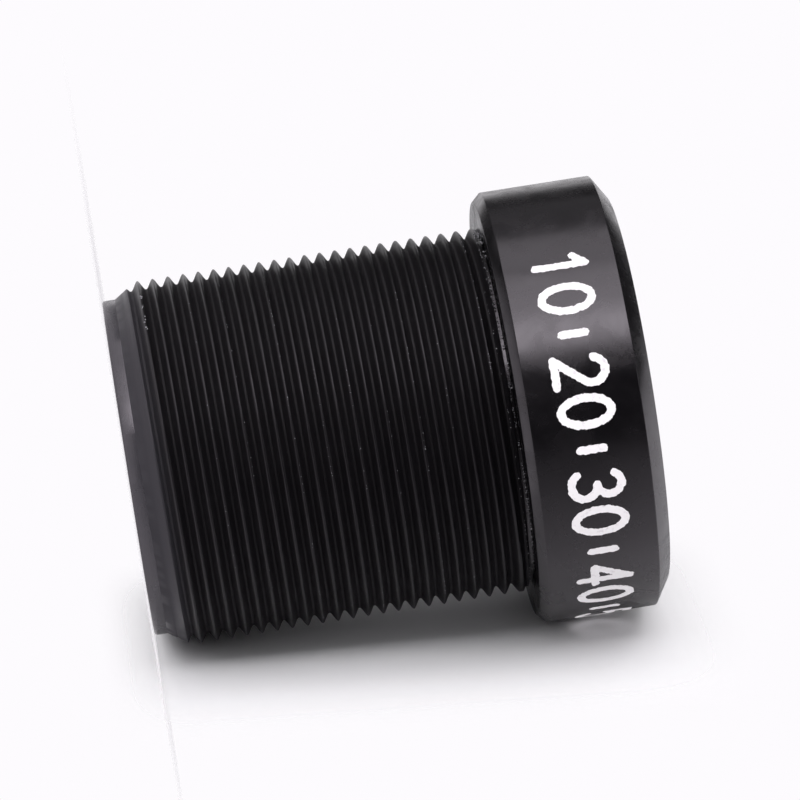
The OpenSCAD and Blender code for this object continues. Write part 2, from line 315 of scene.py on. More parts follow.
barrel = {
    "segments": 160,
    "rowsPerTurn": 16,
    "rowWarp": 0.7,           # gathers the rows at crest and root
    "threadRadius": 5.98,
    "pitch": 0.5,
    "depth": 0.3067,
    "crestSoftness": 0.1,
    "rootSoftness": 0.075,
    "nick": 0.02,             # deepest nick in a crest
    "firstCrest": 1.22,       # height of the first full crest at -X
    "pilotRadius": 5.5,
    "pilotLength": 0.42,
    "leadIn": 33.0,           # degrees between the lead-in cone and the axis
    "skinStart": 0.66,        # where the helical rows start on the cone
    "shoulder": 12.26,        # end of the thread, before the neck
    "grooveEnd": 12.33,
    "runOutTurns": 0.4,
    "neckRadius": 5.65,
    "headSeat": 12.4,
    "headRadius": 7.1,
    "bandStart": 12.69,
    "bandEnd": 16.26,
    "rearChamfer": 0.28,
    "frontChamfer": 0.76,
    "length": 16.74,
    "ringBore": 5.35,
    "ringBoreStart": 12.7,
    "frontBore": 5.22,
    "frontSeat": 11.17,
    "mainBore": 4.5,
    "rearSeat": 3.2,
    "rearHole": 3.7,
    "trapDepth": 0.22,
    "recess": 4.9,
    "recessDepth": 1.05,
    "edgeRound": 0.03,
    "rimRound": 0.05,         # corner of the pilot ring's rear rim
    "mouthBevel": 0.25,       # front edge of the ring's bore
    "weldStep": 0.03,         # rise from the last thread row to the neck
}


def blankOutline(b):
    step = (b["rearSeat"] - b["recessDepth"]) / 4
    points = [
        (b["neckRadius"], b["shoulder"] + b["weldStep"]), (b["neckRadius"], b["headSeat"]),
        (b["headRadius"] - b["rearChamfer"], b["headSeat"]), (b["headRadius"], b["bandStart"]),
        (b["headRadius"], b["bandEnd"]), (b["headRadius"] - b["frontChamfer"], b["length"]),
        (b["ringBore"] + b["mouthBevel"], b["length"]), (b["ringBore"], b["length"] - b["mouthBevel"]),
        (b["ringBore"], b["ringBoreStart"]), (b["frontBore"], b["ringBoreStart"]),
        (b["frontBore"], b["frontSeat"]), (b["mainBore"], b["frontSeat"]),
        (b["mainBore"], b["rearSeat"]), (b["rearHole"], b["rearSeat"]),
    ]
    for i in (3, 2, 1):
        z = b["recessDepth"] + i * step
        points += [(b["rearHole"], z + step / 4), (b["rearHole"] + b["trapDepth"], z), (b["rearHole"], z - step / 4)]
    points += [
        (b["rearHole"], b["recessDepth"]), (b["recess"], b["recessDepth"]), (b["recess"], 0),
        (b["pilotRadius"] - b["rimRound"], 0), (b["pilotRadius"], b["rimRound"]),
        (b["pilotRadius"], b["pilotLength"]),
    ]
    return roundOutline(points, b["edgeRound"])


def latheTree():  # turns the outline round Z: a grid whose rows look up the outline's points
    tree, group = newTree("turnedOutline", {"Segments": "Int", "Finish": "Material"})
    size = addNode(tree, "GeometryNodeAttributeDomainSize", {0: group.outputs["Geometry"]})
    around = addNode(tree, "ShaderNodeMath", {0: group.outputs["Segments"], 1: 1.0}, operation="ADD")
    grid = addNode(tree, "GeometryNodeMeshGrid",
                   {"Size X": 1.0, "Size Y": 1.0, "Vertices X": size.outputs["Point Count"],
                                                  "Vertices Y": around.outputs[0]})
    place = addNode(tree, "ShaderNodeSeparateXYZ", {0: addNode(tree, "GeometryNodeInputPosition").outputs[0]})
    last = addNode(tree, "ShaderNodeMath", {0: size.outputs["Point Count"], 1: 1.0}, operation="SUBTRACT")
    share = addNode(tree, "ShaderNodeMath", {0: place.outputs[0], 1: 0.5}, operation="ADD")
    row = addNode(tree, "ShaderNodeMath", {0: share.outputs[0], 1: last.outputs[0]}, operation="MULTIPLY")
    whole = addNode(tree, "ShaderNodeMath", {0: row.outputs[0]}, operation="ROUND")
    turn = addNode(tree, "ShaderNodeMath", {0: place.outputs[1], 1: 0.5}, operation="ADD")
    angle = addNode(tree, "ShaderNodeMath", {0: turn.outputs[0], 1: 2 * math.pi}, operation="MULTIPLY")
    point = addNode(tree, "GeometryNodeSampleIndex", {"Geometry": group.outputs["Geometry"],
                    "Value": addNode(tree, "GeometryNodeInputPosition").outputs[0], "Index": whole.outputs[0]},
                    data_type="FLOAT_VECTOR", domain="POINT")
    spot = addNode(tree, "ShaderNodeVectorRotate",
                   {"Vector": point.outputs[0], "Axis": (0, 0, 1), "Angle": angle.outputs[0]},
                   rotation_type="AXIS_ANGLE")
    moved = addNode(tree, "GeometryNodeSetPosition", {"Geometry": grid.outputs[0], "Position": spot.outputs[0]})
    endTree(tree, moved.outputs[0], group.outputs["Finish"])
    return tree


def threadTree():  # rows follow the helix; each point's radius comes from its place between two crests
    tree, group = newTree("threadSkin", {
        "Segments": "Int", "Rows": "Int", "Rows Per Turn": "Float", "Radius": "Float", "Pitch": "Float",
        "Depth": "Float",
        "Crest Softness": "Float", "Root Softness": "Float", "Row Warp": "Float", "Nick": "Float",
        "First Crest": "Float",
        "Start": "Float", "End": "Float", "Cone Start": "Float", "Cone Radius": "Float", "Cone Slope": "Float",
        "Neck Radius": "Float", "Groove End": "Float", "Run Out": "Float", "Finish": "Material"})
    v = group.outputs
    calc = partial(mathIn, tree)

    grid = addNode(tree, "GeometryNodeMeshGrid", {"Size X": 1.0, "Size Y": 1.0, "Vertices X": v["Rows"],
                                                  "Vertices Y": calc("ADD", v["Segments"], 1.0)})
    place = addNode(tree, "ShaderNodeSeparateXYZ", {0: addNode(tree, "GeometryNodeInputPosition").outputs[0]})
    lastRow = calc("SUBTRACT", v["Rows"], 1.0)
    row = calc("ROUND", calc("MULTIPLY", calc("ADD", place.outputs[0], 0.5), lastRow))
    turn = calc("ADD", place.outputs[1], 0.5)
    base = calc("MULTIPLY_ADD", v["Pitch"], -0.5, v["First Crest"])  # crest height at azimuth 0
    firstPhase = calc("FLOOR", calc("SUBTRACT", calc("DIVIDE", calc("SUBTRACT", v["Start"], base), v["Pitch"]), 1.0))
    even = calc("ADD", calc("DIVIDE", row, v["Rows Per Turn"]), firstPhase)
    warp = calc("SINE", calc("MULTIPLY", even, 4 * math.pi))
    phase = calc("MULTIPLY_ADD", calc("MULTIPLY", warp, v["Row Warp"]), -1 / (4 * math.pi), even)
    free = calc("MULTIPLY_ADD", calc("ADD", phase, turn), v["Pitch"], base)
    height = calc("MINIMUM", calc("MAXIMUM", free, v["Start"]), v["End"])
    local = calc("SUBTRACT", calc("DIVIDE", calc("SUBTRACT", height, base), v["Pitch"]), turn)
    away = calc("ABSOLUTE", calc("SUBTRACT", local, calc("ROUND", local)))
    slope = calc("MULTIPLY", calc("SUBTRACT", away, 1 / 16), 1 / math.tan(math.radians(30)))
    flank = calc("SMOOTH_MAX", calc("MULTIPLY", slope, v["Pitch"]), 0.0, v["Crest Softness"])
    cut = calc("SMOOTH_MIN", flank, v["Depth"], v["Root Softness"])
    centre = calc("MULTIPLY_ADD", calc("ADD", calc("ADD", calc("FLOOR", local), 0.5), turn), v["Pitch"], base)
    left = calc("DIVIDE", calc("DIVIDE", calc("SUBTRACT", v["Groove End"], centre), v["Pitch"]), v["Run Out"])
    lift = calc("MULTIPLY", calc("SUBTRACT", 1.0, calc("MINIMUM", left, 1.0)), calc("ADD", v["Depth"], 0.04 * mm))
    groove = calc("MAXIMUM", calc("SUBTRACT", cut, lift), 0.0)
    cone = calc("MULTIPLY_ADD", calc("SUBTRACT", height, v["Cone Start"]), v["Cone Slope"], v["Cone Radius"])
    skin = calc("MINIMUM", calc("SUBTRACT", v["Radius"], groove), cone)

    isFirst = calc("LESS_THAN", row, 0.5)
    isLast = calc("GREATER_THAN", row, calc("SUBTRACT", lastRow, 0.5))
    radius = addNode(tree, "GeometryNodeSwitch", {"Switch": isFirst, "False": skin, "True": v["Cone Radius"]},
                     input_type="FLOAT").outputs[0]
    radius = addNode(tree, "GeometryNodeSwitch", {"Switch": isLast, "False": radius, "True": v["Neck Radius"]},
                     input_type="FLOAT").outputs[0]
    high = addNode(tree, "GeometryNodeSwitch", {"Switch": isFirst, "False": height, "True": v["Cone Start"]},
                   input_type="FLOAT").outputs[0]
    high = addNode(tree, "GeometryNodeSwitch",
                   {"Switch": isLast, "False": high, "True": calc("ADD", v["End"], barrel["weldStep"] * mm)},
                   input_type="FLOAT").outputs[0]
    spot = addNode(tree, "ShaderNodeVectorRotate",
                   {"Vector": addNode(tree, "ShaderNodeCombineXYZ", {0: radius, 2: high}).outputs[0],
                   "Axis": (0, 0, 1), "Angle": calc("MULTIPLY", turn, 2 * math.pi)}, rotation_type="AXIS_ANGLE")
    share = calc("DIVIDE", groove, v["Depth"])
    marked = addNode(tree, "GeometryNodeStoreNamedAttribute",
                     {"Geometry": grid.outputs[0], "Name": "cutDepth", "Value": share},
                     data_type="FLOAT", domain="POINT")
    moved = addNode(tree, "GeometryNodeSetPosition", {"Geometry": marked.outputs[0], "Position": spot.outputs[0]})
    depth = addNode(tree, "GeometryNodeInputNamedAttribute", {"Name": "cutDepth"}, data_type="FLOAT").outputs[0]
    where = addNode(tree, "GeometryNodeInputPosition").outputs[0]
    chips = addNode(tree, "ShaderNodeTexNoise", {"Vector": where, "Scale": 2.2 / mm, "Detail": 2.0})
    nick = addNode(tree, "ShaderNodeMapRange",
                   {"Value": chips.outputs[0], "From Min": 0.52, "From Max": 0.72, "To Max": v["Nick"]})
    crest = calc("MULTIPLY", nick.outputs[0], calc("MAXIMUM", calc("MULTIPLY_ADD", depth, -6.0, 1.0), 0.0))
    inward = addNode(tree, "ShaderNodeVectorMath", {0: where, 1: (-1, -1, 0)}, operation="MULTIPLY")
    unit = addNode(tree, "ShaderNodeVectorMath", {0: inward.outputs[0]}, operation="NORMALIZE")
    push = addNode(tree, "ShaderNodeVectorMath", {0: unit.outputs[0], "Scale": crest}, operation="SCALE")
    inner = calc("MULTIPLY", calc("GREATER_THAN", row, 0.5), calc("LESS_THAN", row, calc("SUBTRACT", lastRow, 0.5)))
    keep = addNode(tree, "GeometryNodeStoreNamedAttribute",
                   {"Geometry": marked.outputs[0], "Name": "inner", "Value": inner},
                   data_type="FLOAT", domain="POINT")
    tree.links.new(keep.outputs[0], moved.inputs["Geometry"])
    nicked = addNode(tree, "GeometryNodeSetPosition", {"Geometry": moved.outputs[0], "Offset": push.outputs[0],
                     "Selection": addNode(tree, "GeometryNodeInputNamedAttribute", {"Name": "inner"},
                                          data_type="FLOAT").outputs[0]})
    endTree(tree, nicked.outputs[0], v["Finish"])
    return tree


def joinPieces(name, parts):  # several meshes into one object, each with its own material
    work = bmesh.new()
    materials = []
    for part in parts:
        first = len(work.faces)
        work.from_mesh(part.data)
        work.faces.ensure_lookup_table()
        if part.data.materials[0] not in materials:
            materials.append(part.data.materials[0])
        for face in work.faces[first:]:
            face.material_index = materials.index(part.data.materials[0])
    mesh = bpy.data.meshes.new(name)
    work.to_mesh(mesh)
    work.free()
    for material in materials:
        mesh.materials.append(material)
    whole = bpy.data.objects.new(name, mesh)
    scene.collection.objects.link(whole)
    for part in parts:
        bpy.data.objects.remove(part)
    return whole


b = barrel
rows = int((b["shoulder"] - b["skinStart"]) / b["pitch"] + 3) * b["rowsPerTurn"] + 1
skin = runTree("threadSkin", threadTree(), {
    "Segments": b["segments"], "Rows": rows, "Rows Per Turn": float(b["rowsPerTurn"]),
    "Radius": b["threadRadius"] * mm,
    "Pitch": b["pitch"] * mm, "Depth": b["depth"] * mm, "Crest Softness": b["crestSoftness"] * mm,
    "Root Softness": b["rootSoftness"] * mm, "Row Warp": b["rowWarp"], "Nick": b["nick"] * mm,
    "First Crest": b["firstCrest"] * mm,
    "Start": b["skinStart"] * mm, "End": b["shoulder"] * mm, "Cone Start": b["pilotLength"] * mm,
    "Cone Radius": b["pilotRadius"] * mm,
    "Cone Slope": math.tan(math.radians(b["leadIn"])), "Neck Radius": b["neckRadius"] * mm,
    "Groove End": b["grooveEnd"] * mm,
    "Run Out": b["runOutTurns"], "Finish": cutAnodised})
blank = runTree("blank", latheTree(), {"Segments": b["segments"], "Finish": blackAnodised},
                outlineMesh("blankOutline", blankOutline(b)))
barrelPiece = joinPieces("lens_barrel", [skin, blank])
closeAndShade(barrelPiece)
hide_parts("barrel")
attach(barrelPiece, "root")
print("lens: barrel made")


# index scale printed round the head: plain numbers in tens with a short mark between, tops toward the front

scaleRing = {
    "numbers": ["10", "20", "30", "40", "50", "60", "70", "80", "90"],
    "height": 1.86,           # outer height of the figures
    "stroke": 0.265,
    "wide": 0.86,             # width of a figure's centre line
    "pitch": 1.28,            # from figure to figure
    "baseline": 13.56,        # height of the figures' feet
    "first": 229.0,           # degrees from +X, left end of the first number
    "step": 30.0,             # degrees from number to number
    "markLength": 0.75,
    "cell": 0.055,            # grid that the figures are cut from
    "roughEdge": 0.13,        # spread of the ink's edge
    "film": 0.012,            # thickness of the ink
}


def arc(x, y, wide, tall, start, end, steps=16):  # part of an ellipse as points
    turns = [math.radians(start + (end - start) * i / steps) for i in range(steps + 1)]
    return [(x + wide * math.cos(a), y + tall * math.sin(a)) for a in turns]


figures = {  # centre lines of the figures in a box one wide and one high
    "0": [arc(0.5, 0.5, 0.5, 0.5, 0, 360, 32)],
    "1": [[(0.16, 0.78), (0.55, 1), (0.55, 0)]],
    "2": [arc(0.5, 0.73, 0.47, 0.27, 165, -42) + [(0, 0), (1, 0)]],
    "3": [arc(0.46, 0.76, 0.44, 0.24, 150, -90), arc(0.46, 0.26, 0.52, 0.26, 90, -150)],
    "4": [[(0.74, 0), (0.74, 1), (0, 0.3), (1, 0.3)]],
    "5": [[(0.9, 1), (0.16, 1), (0.09, 0.56)] + arc(0.47, 0.33, 0.52, 0.33, 128, -150)],
    "6": [arc(0.5, 0.3, 0.5, 0.3, 0, 360, 28), [(0, 0.32), (0.07, 0.6), (0.3, 0.85), (0.72, 1)]],
    "7": [[(0, 1), (1, 1), (0.36, 0)]],
    "8": [arc(0.5, 0.76, 0.42, 0.24, 0, 360, 24), arc(0.5, 0.26, 0.5, 0.26, 0, 360, 28)],
    "9": [arc(0.5, 0.7, 0.5, 0.3, 0, 360, 28), [(1, 0.68), (0.93, 0.4), (0.7, 0.15), (0.28, 0)]],
}


def scaleLines(s, radius):  # every figure's centre line on the unrolled band, x round the head, y along it
    mesh = bpy.data.meshes.new("scaleLines")
    points, edges = [], []
    arcStep = math.radians(s["step"]) * radius
    tall = s["height"] - s["stroke"]

    def addLine(line, x, wide):
        first = len(points)
        foot = s["baseline"] + s["stroke"] / 2
        points.extend(((x + px * wide) * mm, (foot + py * tall) * mm, 0) for px, py in line)
        edges.extend((first + i, first + i + 1) for i in range(len(line) - 1))

    for i, number in enumerate(s["numbers"]):
        x = i * arcStep + s["stroke"] / 2
        for k, figure in enumerate(number):
            for line in figures[figure]:
                addLine(line, x + k * s["pitch"], s["wide"])
        middle = (s["pitch"] + s["wide"] + arcStep) / 2
        share = s["markLength"] / tall
        addLine([(0, 0.5 - share / 2), (0, 0.5 + share / 2)], x + middle, 1)
    mesh.from_pydata(points, edges, [])
    return mesh


def printTree():  # a fine grid keeps its cells near the lines, its rim is drawn to the stroke's edge, then it wraps
    tree, group = newTree("printedLines", {
        "Columns": "Int", "Rows": "Int", "Cell": "Float", "Left": "Float", "Bottom": "Float", "Stroke": "Float",
        "Rough Edge": "Float", "Film": "Float", "Radius": "Float", "First Angle": "Float", "Finish": "Material"})
    v = group.outputs
    calc = partial(mathIn, tree)

    def vector(operation, *values):
        return addNode(tree, "ShaderNodeVectorMath", dict(enumerate(values)), operation=operation).outputs[0]

    wide = calc("MULTIPLY", v["Columns"], v["Cell"])
    tall = calc("MULTIPLY", v["Rows"], v["Cell"])
    grid = addNode(tree, "GeometryNodeMeshGrid",
                   {"Size X": wide, "Size Y": tall, "Vertices X": calc("ADD", v["Columns"], 1.0),
                                                  "Vertices Y": calc("ADD", v["Rows"], 1.0)})
    middle = addNode(tree, "ShaderNodeCombineXYZ", {0: calc("MULTIPLY_ADD", wide, 0.5, v["Left"]),
                                                    1: calc("MULTIPLY_ADD", tall, 0.5, v["Bottom"])})
    sheet = addNode(tree, "GeometryNodeTransform", {"Geometry": grid.outputs[0], "Translation": middle.outputs[0]})
    where = addNode(tree, "GeometryNodeInputPosition").outputs[0]
    near = addNode(tree, "GeometryNodeProximity", {0: v["Geometry"]}, target_element="EDGES")
    noise = addNode(tree, "ShaderNodeTexNoise", {"Vector": where, "Scale": 8 / mm, "Detail": 3.0})
    reach = calc("MULTIPLY_ADD", v["Stroke"], 0.5,
                 calc("MULTIPLY", calc("SUBTRACT", noise.outputs[0], 0.5), v["Rough Edge"]))
    inked = addNode(tree, "GeometryNodeDeleteGeometry",
                    {0: sheet.outputs[0], 1: calc("GREATER_THAN", near.outputs[1], reach)},
                    domain="FACE")
    rim = calc("LESS_THAN", addNode(tree, "GeometryNodeInputMeshEdgeNeighbors").outputs[0], 1.5)
    marked = addNode(tree, "GeometryNodeStoreNamedAttribute",
                     {"Geometry": inked.outputs[0], "Name": "rim", "Value": rim},
                     data_type="FLOAT", domain="EDGE")
    onRim = calc("GREATER_THAN", addNode(tree, "GeometryNodeInputNamedAttribute", {"Name": "rim"},
                                         data_type="FLOAT").outputs[0], 0.1)
    away = addNode(tree, "ShaderNodeVectorMath",
                   {0: vector("NORMALIZE", vector("SUBTRACT", where, near.outputs[0])), "Scale": reach},
                   operation="SCALE").outputs[0]
    drawn = addNode(tree, "GeometryNodeSetPosition", {"Geometry": marked.outputs[0], "Selection": onRim,
                                                      "Position": vector("ADD", near.outputs[0], away)})
    thick = addNode(tree, "GeometryNodeExtrudeMesh",
                    {"Mesh": drawn.outputs[0], "Offset": (0, 0, 1), "Offset Scale": v["Film"],
                                                      "Individual": False}, mode="FACES")
    back = addNode(tree, "GeometryNodeFlipFaces", {0: drawn.outputs[0]})
    both = addNode(tree, "GeometryNodeJoinGeometry")
    tree.links.new(thick.outputs[0], both.inputs[0])
    tree.links.new(back.outputs[0], both.inputs[0])
    parts = addNode(tree, "ShaderNodeSeparateXYZ", {0: where})
    angle = calc("ADD", calc("DIVIDE", parts.outputs[0], v["Radius"]), v["First Angle"])
    flat = addNode(tree, "ShaderNodeCombineXYZ", {0: calc("ADD", v["Radius"], parts.outputs[2]), 2: parts.outputs[1]})
    spot = addNode(tree, "ShaderNodeVectorRotate", {"Vector": flat.outputs[0], "Axis": (0, 0, 1), "Angle": angle},
                   rotation_type="AXIS_ANGLE")
    wrapped = addNode(tree, "GeometryNodeSetPosition", {"Geometry": both.outputs[0], "Position": spot.outputs[0]})
    endTree(tree, wrapped.outputs[0], v["Finish"])
    return tree


s = scaleRing
around = math.radians(s["step"] * len(s["numbers"])) * b["headRadius"]
printPiece = runTree("head_scale_print", printTree(), {
    "Columns": round((around + 0.4) / s["cell"]), "Rows": round((s["height"] + 0.3) / s["cell"]),
    "Cell": s["cell"] * mm,
    "Left": -0.2 * mm, "Bottom": (s["baseline"] - 0.15) * mm, "Stroke": s["stroke"] * mm,
    "Rough Edge": s["roughEdge"] * mm,
    "Film": s["film"] * mm, "Radius": (b["headRadius"] - 0.003) * mm, "First Angle": math.radians(s["first"]),
    "Finish": whiteInk},
    scaleLines(s, b["headRadius"]))
closeAndShade(printPiece, merge=0.0001, sharpAngle=40)
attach(printPiece, "root")
print("lens: head print made")


# burrs: chips torn up at both ends of the thread and on a few crests, each a lumpy grain on the helix

burrs = {
    "runs": [  # first azimuth from +X, sweep, height, radius, count, size
        (180, 34, 12.315, 5.88, 34, 0.034),
        (196, 50, 12.21, 5.96, 30, 0.022),
        (190, 70, 11.74, 5.97, 34, 0.017),
        (205, 20, 1.27, 5.97, 12, 0.03),
        (200, 150, 5.26, 5.975, 30, 0.013),
        (225, 120, 9.3, 5.975, 30, 0.013),
        (214, 50, 12.3, 5.78, 20, 0.028),
        (262, 92, 12.31, 5.77, 110, 0.02),
        (230, 120, 12.08, 5.96, 40, 0.014),
        (215, 150, 2.76, 5.98, 16, 0.011),
        (200, 160, 3.79, 5.98, 16, 0.012),
        (240, 130, 6.28, 5.98, 14, 0.011),
        (205, 140, 7.25, 5.98, 18, 0.012),
        (195, 170, 8.28, 5.98, 14, 0.011),
        (220, 140, 10.26, 5.98, 18, 0.012),
    ],
}


def burrTree():
    tree, group = newTree("tornBurrs", {
        "Count": "Int", "First Angle": "Float", "Sweep": "Float", "Height": "Float", "Pitch": "Float",
        "Radius": "Float",
        "Size": "Float", "Seed": "Int", "Finish": "Material"})
    v = group.outputs
    calc = partial(mathIn, tree)

    def chance(low, high, offset):
        seed = calc("ADD", v["Seed"], float(offset))
        return addNode(tree, "FunctionNodeRandomValue", {2: low, 3: high, 8: seed}, data_type="FLOAT").outputs[1]

    points = addNode(tree, "GeometryNodePoints", {"Count": v["Count"]})
    share = calc("POWER", chance(0.0, 1.0, 1), 1.4)
    turn = calc("MULTIPLY", share, v["Sweep"])
    rise = calc("MULTIPLY", calc("DIVIDE", turn, 2 * math.pi), v["Pitch"])
    high = calc("ADD", calc("ADD", v["Height"], rise), calc("MULTIPLY", chance(-1.0, 1.0, 2), v["Size"]))
    out = calc("ADD", v["Radius"], calc("MULTIPLY", chance(-0.8, 0.8, 3), v["Size"]))
    spot = addNode(tree, "ShaderNodeVectorRotate",
                   {"Vector": addNode(tree, "ShaderNodeCombineXYZ", {0: out, 2: high}).outputs[0],
                   "Axis": (0, 0, 1), "Angle": calc("ADD", v["First Angle"], turn)}, rotation_type="AXIS_ANGLE")
    placed = addNode(tree, "GeometryNodeSetPosition", {"Geometry": points.outputs[0], "Position": spot.outputs[0]})
    grain = addNode(tree, "GeometryNodeMeshIcoSphere", {"Radius": v["Size"], "Subdivisions": 2})
    size = addNode(tree, "ShaderNodeCombineXYZ",
                   {0: chance(0.5, 1.6, 4), 1: chance(0.5, 1.3, 5), 2: chance(0.4, 1.2, 6)})
    spin = addNode(tree, "ShaderNodeCombineXYZ",
                   {0: chance(0.0, 6.28, 7), 1: chance(0.0, 6.28, 8), 2: chance(0.0, 6.28, 9)})
    copies = addNode(tree, "GeometryNodeInstanceOnPoints", {"Points": placed.outputs[0], "Instance": grain.outputs[0],
                     "Rotation": spin.outputs[0], "Scale": size.outputs[0]})
    real = addNode(tree, "GeometryNodeRealizeInstances", {0: copies.outputs[0]})
    lump = addNode(tree, "ShaderNodeTexNoise",
                   {"Vector": addNode(tree, "GeometryNodeInputPosition").outputs[0], "Scale": 30 / mm})
    centred = addNode(tree, "ShaderNodeVectorMath", {0: lump.outputs["Color"], 1: (0.5, 0.5, 0.5)},
                      operation="SUBTRACT")
    shake = addNode(tree, "ShaderNodeVectorMath", {0: centred.outputs[0], "Scale": calc("MULTIPLY", v["Size"], 1.6)},
                    operation="SCALE")
    torn = addNode(tree, "GeometryNodeSetPosition", {"Geometry": real.outputs[0], "Offset": shake.outputs[0]})
    endTree(tree, torn.outputs[0], v["Finish"])
    return tree


tear = burrTree()
chips = []
for i, (first, sweep, height, radius, count, size) in enumerate(burrs["runs"]):
    chips.append(runTree("chips", tear, {
        "Count": count, "First Angle": math.radians(first), "Sweep": math.radians(sweep), "Height": height * mm,
        "Pitch": b["pitch"] * mm, "Radius": radius * mm, "Size": size * mm, "Seed": 20 * i + 4, "Finish": bareBurr}))
burrPiece = joinPieces("thread_burrs", chips)
closeAndShade(burrPiece, merge=0.00001, sharpAngle=70)
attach(burrPiece, "root")
print("lens: burrs made")


# carried-over nodes get their finishes

finishes = {
    "retaining_ring": dullBlack, "front_spacer": dullBlack, "aperture_stop": dullBlack, "rear_spacer": dullBlack,
    "front_element": frontGlass, "second_element": clearGlass, "doublet_flint": clearGlass,
    "doublet_crown": clearGlass,
    "ir_cut_filter": filterGlass, "filter_glue": adhesive,
}
slots = {"retaining_ring": "dull_black_aluminium", "front_element": "coated_front_glass"}
for node, finish in finishes.items():
    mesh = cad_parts[node].data
    mesh.materials.clear()
    mesh.materials.append(finish)
for node, slotName in slots.items():  # the two that show at the open front are welded and smoothed
    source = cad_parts[node]
    copy = bpy.data.objects.new("lens_" + node, source.data.copy())
    copy.data.transform(source.matrix_world)
    scene.collection.objects.link(copy)
    setMaterial(copy.data, finishes[node])
    closeAndShade(copy, sharpAngle=24)
    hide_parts(node)
    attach(copy, "root")


# stage: pale floor, a pale table leaf that the photographed side rests on, lamps and camera

stage = {
    "white": "#fdfbfe",       # background as the camera shows it
    "floorPaper": "#d8d7d9",
    "floorHalf": 400.0,
    "floorGlow": 0.47,        # share of the floor's white that needs no lamp
    "floorSolid": 7.0,        # mm from the axis up to which the floor is solid
    "floorGone": 14.5,
    "leafTurn": 20.0,         # degrees from +X toward +Y where the leaf touches the lens
    "leafGap": 0.012,
    "leafHeight": 8.0,        # mm above the rear rim, where its own middle is
    "leafNear": 150.0,
    "leafFar": 110.0,
    "leafLeft": 160.0,
    "leafRight": 200.0,
    "paintedLitReach": 7.0,          # mm in front of the contact line up to which the leaf's painted light is full
    "paintedLightFall": -0.9,          # how that painted light falls off beyond that
    "paintedLightShare": 0.61,         # share of the paper's white that is painted in for the metal
    "paintedFrontLight": 0.5,        # painted light: how much brighter the leaf is painted for the metal in front of the head
    "paintedFrontReach": (7.0, 14.0),  # mm along the leaf over which that sets in
    "paper": "#f8f8f9",
    "shownNear": 9.5,         # the camera sees the leaf only where the lens shades it
    "shownFar": 7.0,
    "shownLeft": 10.0,
    "shownRight": 11.5,
    "shownSoft": 5.0,         # width over which that patch fades, mm
    "shownSoftLeft": 3.0,
    "roomLight": 0.04,        # the dark room around the white backdrop
    "backdropEdge": (36.0, 27.0),  # degrees from +Y where the backdrop behind the lens starts and is full
    "lampDistance": 200.0,
    "lampColour": (1.0, 0.985, 1.012),
}


def fade(tree, value, start, end):  # 0 at start, 1 at end, in mm
    return addNode(tree, "ShaderNodeMapRange", {"Value": value, "From Min": start, "From Max": end},
                   interpolation_type="SMOOTHSTEP").outputs[0]


def anyOf(tree, *values):  # the largest of several levels
    level = values[0]
    for value in values[1:]:
        level = mathIn(tree, "MAXIMUM", level, value)
    return level


def makeFloorPaper():
    # matt white paper: soft contact shadow near the lens; further out it gives way to the white backdrop
    material, tree, shader = newMaterial("whitePaperFloor")
    tree.nodes.remove(shader)
    paper = addNode(tree, "ShaderNodeBsdfDiffuse", {"Color": linear(stage["floorPaper"])}).outputs[0]
    path = addNode(tree, "ShaderNodeLightPath").outputs
    seen = anyOf(tree, path["Is Camera Ray"], path["Is Glossy Ray"], path["Is Transmission Ray"])
    glow = mathIn(tree, "MULTIPLY", seen, stage["floorGlow"])
    shine = addNode(tree, "ShaderNodeEmission", {"Color": linear(stage["white"]), "Strength": glow}).outputs[0]
    both = addNode(tree, "ShaderNodeAddShader", {0: paper, 1: shine}).outputs[0]
    off = addNode(tree, "ShaderNodeVectorMath", {0: patternSpace(tree)}, operation="LENGTH").outputs["Value"]
    gone = fade(tree, off, stage["floorSolid"], stage["floorGone"])
    clear = addNode(tree, "ShaderNodeBsdfTransparent").outputs[0]
    result = addNode(tree, "ShaderNodeMixShader", {0: gone, 1: both, 2: clear})
    tree.links.new(result.outputs[0], tree.nodes["Material Output"].inputs["Surface"])
    return material


